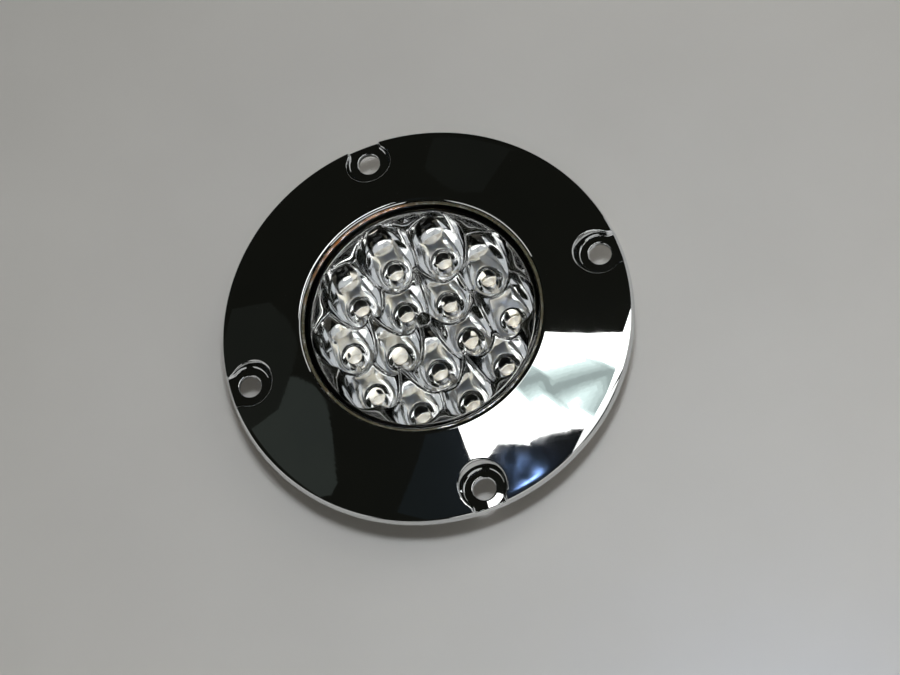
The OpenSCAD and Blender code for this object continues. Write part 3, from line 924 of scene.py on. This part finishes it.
def hang_strip(name, centre, size, level, turn_deg):
    """A dim strip below the ceiling panel, facing down."""
    shader = Shader(name, Roughness=1.0, Emission_Strength=level)
    shader.bsdf.inputs["Base Color"].default_value = (0, 0, 0, 1)
    shader.bsdf.inputs["Emission Color"].default_value = (0.84, 1.0, 0.96, 1)
    mesh = rectangle(name, size[0] / 2, size[1] / 2, 0, (0, 3, 2, 1))
    mesh.materials.append(shader.material)
    strip_object = bpy.data.objects.new(name, mesh)
    strip_object.matrix_world = turned(centre, turn_deg)
    strip_object.visible_camera = False
    bpy.context.scene.collection.objects.link(strip_object)


def light_ceiling():
    """A bright panel, what the chrome sees dimly beyond it, and the seams between the panel's tiles."""
    white = (1, 0.99, 0.96)
    for name, centre, size, level, turn in (
        ("panel", (387, 23), (940, 205), 3, 13.5),
        ("panel_end", (40, -144), (204, 40), 3, 5),
        ("panel_step", (192, -116), (140, 40), 3, 17.6),
        ("panel_side", (500, -230), (400, 330), 1.5, 0),
    ):
        ceiling_light(name, centre, size, level, white, turn)

    # Each dim patch is four lights of growing size, which softens its edges
    growth = (-60, -20, 20, 60)
    for name, centre, size, level, turn, colour in (
        ("wall", (-890, 625), (320, 500), 0.022, 0, (0.85, 1.0, 0.9)),
        ("wall_low", (-699, 220), (500, 120), 0.11, -67, (0.85, 1.0, 0.9)),
        ("wall_top", (350, 1270), (300, 100), 0.012, -47, (0.85, 1.0, 0.95)),
        ("haze", (-70, -225), (420, 190), 0.03, 10, (0.45, 0.75, 1.0)),
    ):
        for k in growth:
            grown = (size[0] + k, size[1] + k)
            ceiling_light(f"{name}_{k - growth[0]}", centre, grown, level / len(growth), colour, turn)

    # Strips hung a little below the panel hide it from the chrome, the narrow ones lower and darker
    path = ((235, -60), (315, -16), (293, -49), (440, 40), (395, -25), (350, -66))
    hang, spacing = 10, 4
    for k, (width, level) in enumerate(((42, 1.38), (34, 1.2), (26, 0.97), (18, 0.74), (9, 0.52))):
        for j, (start, end) in enumerate(zip(path, path[1:])):
            length = math.dist(start, end) + width
            turn = math.degrees(math.atan2(end[1] - start[1], end[0] - start[0]))
            middle = ((start[0] + end[0]) / 2, (start[1] + end[1]) / 2, CEILING_Z - hang - spacing * k)
            hang_strip(f"seam_{j}_{k}", middle, (length, width), level, turn)


def light_flash(place):
    """The camera's flash. Clear parts block it in the renderer, so more lights reach what lies behind."""
    flash = area_light("flash", place, FLASH_SIZE, 1.7, (0.9, 0.94, 1.0))
    flash.visible_glossy = flash.visible_transmission = False
    gleam = area_light("flash_gleam", place, FLASH_SIZE, 1.7, (0.3, 0.5, 1.0))
    gleam.visible_diffuse = False
    for name, side, level in (("lens_glow", 420, 0.8), ("lens_flash", 120, 20)):
        glow = area_light(name, place, (side, side), watts(level, (side, side)), (0.95, 0.97, 1.0))
        glow.visible_glossy = glow.visible_diffuse = False

    # The flash as it passes the clear lens and domes to the metal inside the LEDs and to the seal
    through = area_light("led_flash", place, FLASH_SIZE, 3.6, (1.0, 0.97, 0.88))
    through.visible_transmission = False
    for role in ("receiver_collection", "blocker_collection"):
        setattr(through.light_linking, role, bpy.data.collections.new(role))
    receivers = [f"led_leads_{i + 1:02d}" for i in range(LED_COUNT)] + ["seal_bead", "bond_ring"]
    for name in receivers:
        through.light_linking.receiver_collection.objects.link(bpy.data.objects[name])
    through.light_linking.blocker_collection.objects.link(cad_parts["circuit_board"])


def light_scene(flash_place):
    world = bpy.data.worlds.new("world")
    world.use_nodes = True
    background = world.node_tree.nodes["Background"]
    background.inputs["Color"].default_value = (0.0075, 0.0078, 0.006, 1)
    background.inputs["Strength"].default_value = 1.0
    bpy.context.scene.world = world
    light_ceiling()
    light_flash(flash_place)

    # Soft light from the four sides of the room
    area_light("fill_left", (-1400, -300, 480), (1700, 760), 3.0, (1.0, 0.98, 0.94))
    fill_back = area_light("fill_back", (200, 1500, 480), (1900, 760), 3.0, (1.0, 0.99, 0.96))
    fill_back.visible_glossy = False
    area_light("fill_front", (300, -1500, 480), (1700, 760), 3.8, (1.0, 0.98, 0.94))
    area_light("fill_right", (1500, 100, 480), (1700, 760), 3.0, (1.0, 0.99, 0.96))


def build():
    makers = (bezel_chrome, clear_lens, sealant, adhesive, reflector_chrome, led_epoxy, led_metal, board,
              solder, resistor_body, component_black, screw_steel, terminal_brass, housing_black, gasket_foam)
    look = {make.__name__: make().material for make in makers}
    for name, patches, slot, node in (
        ("bezel_front", bezel_mesh(), "bezel_chrome", "bezel"),
        ("lens_clear", lens_mesh(), "clear_lens", "lens"),
        ("seal_bead", seal_mesh(), "sealant", "lens_seal"),
        ("bond_ring", bond_mesh(), "adhesive", "bezel_bond"),
        ("reflector_bowl", reflector_mesh(), "reflector_chrome", "reflector"),
        ("gasket_ring", gasket_mesh(), "gasket_foam", "mounting_gasket"),
    ):
        make_piece(name, patches, look[slot], [node])
    for i, axis in enumerate(led_axes()):
        number = f"{i + 1:02d}"
        body = make_piece("led_body_" + number, led_mesh(), look["led_epoxy"], ["led_" + number])
        place_at(body, axis)
        leads = make_piece("led_leads_" + number, leadframe_mesh(), look["led_metal"],
                           ["leadframe_" + number], sharp_deg=30)
        place_at(leads, axis)

    # CAD nodes whose shape is right keep it and get a finished material
    finishes = {"circuit_board": "board", "solder_joints": "solder", "board_screws": "screw_steel",
                "housing": "housing_black", "diode_tail": "component_black", "diode_stop": "component_black"}
    finishes.update({f"resistor_{i + 1:02d}": "resistor_body" for i in range(5)})
    finishes.update({name: "terminal_brass" for name in ("pin_ground", "pin_tail", "pin_stop")})
    for node, slot in finishes.items():
        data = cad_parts[node].data
        data.materials.clear()
        data.materials.append(look[slot])


flash_place = aim_camera()
build()
lay_floor()
light_scene(flash_place)
bpy.context.scene.view_settings.view_transform = "Standard"
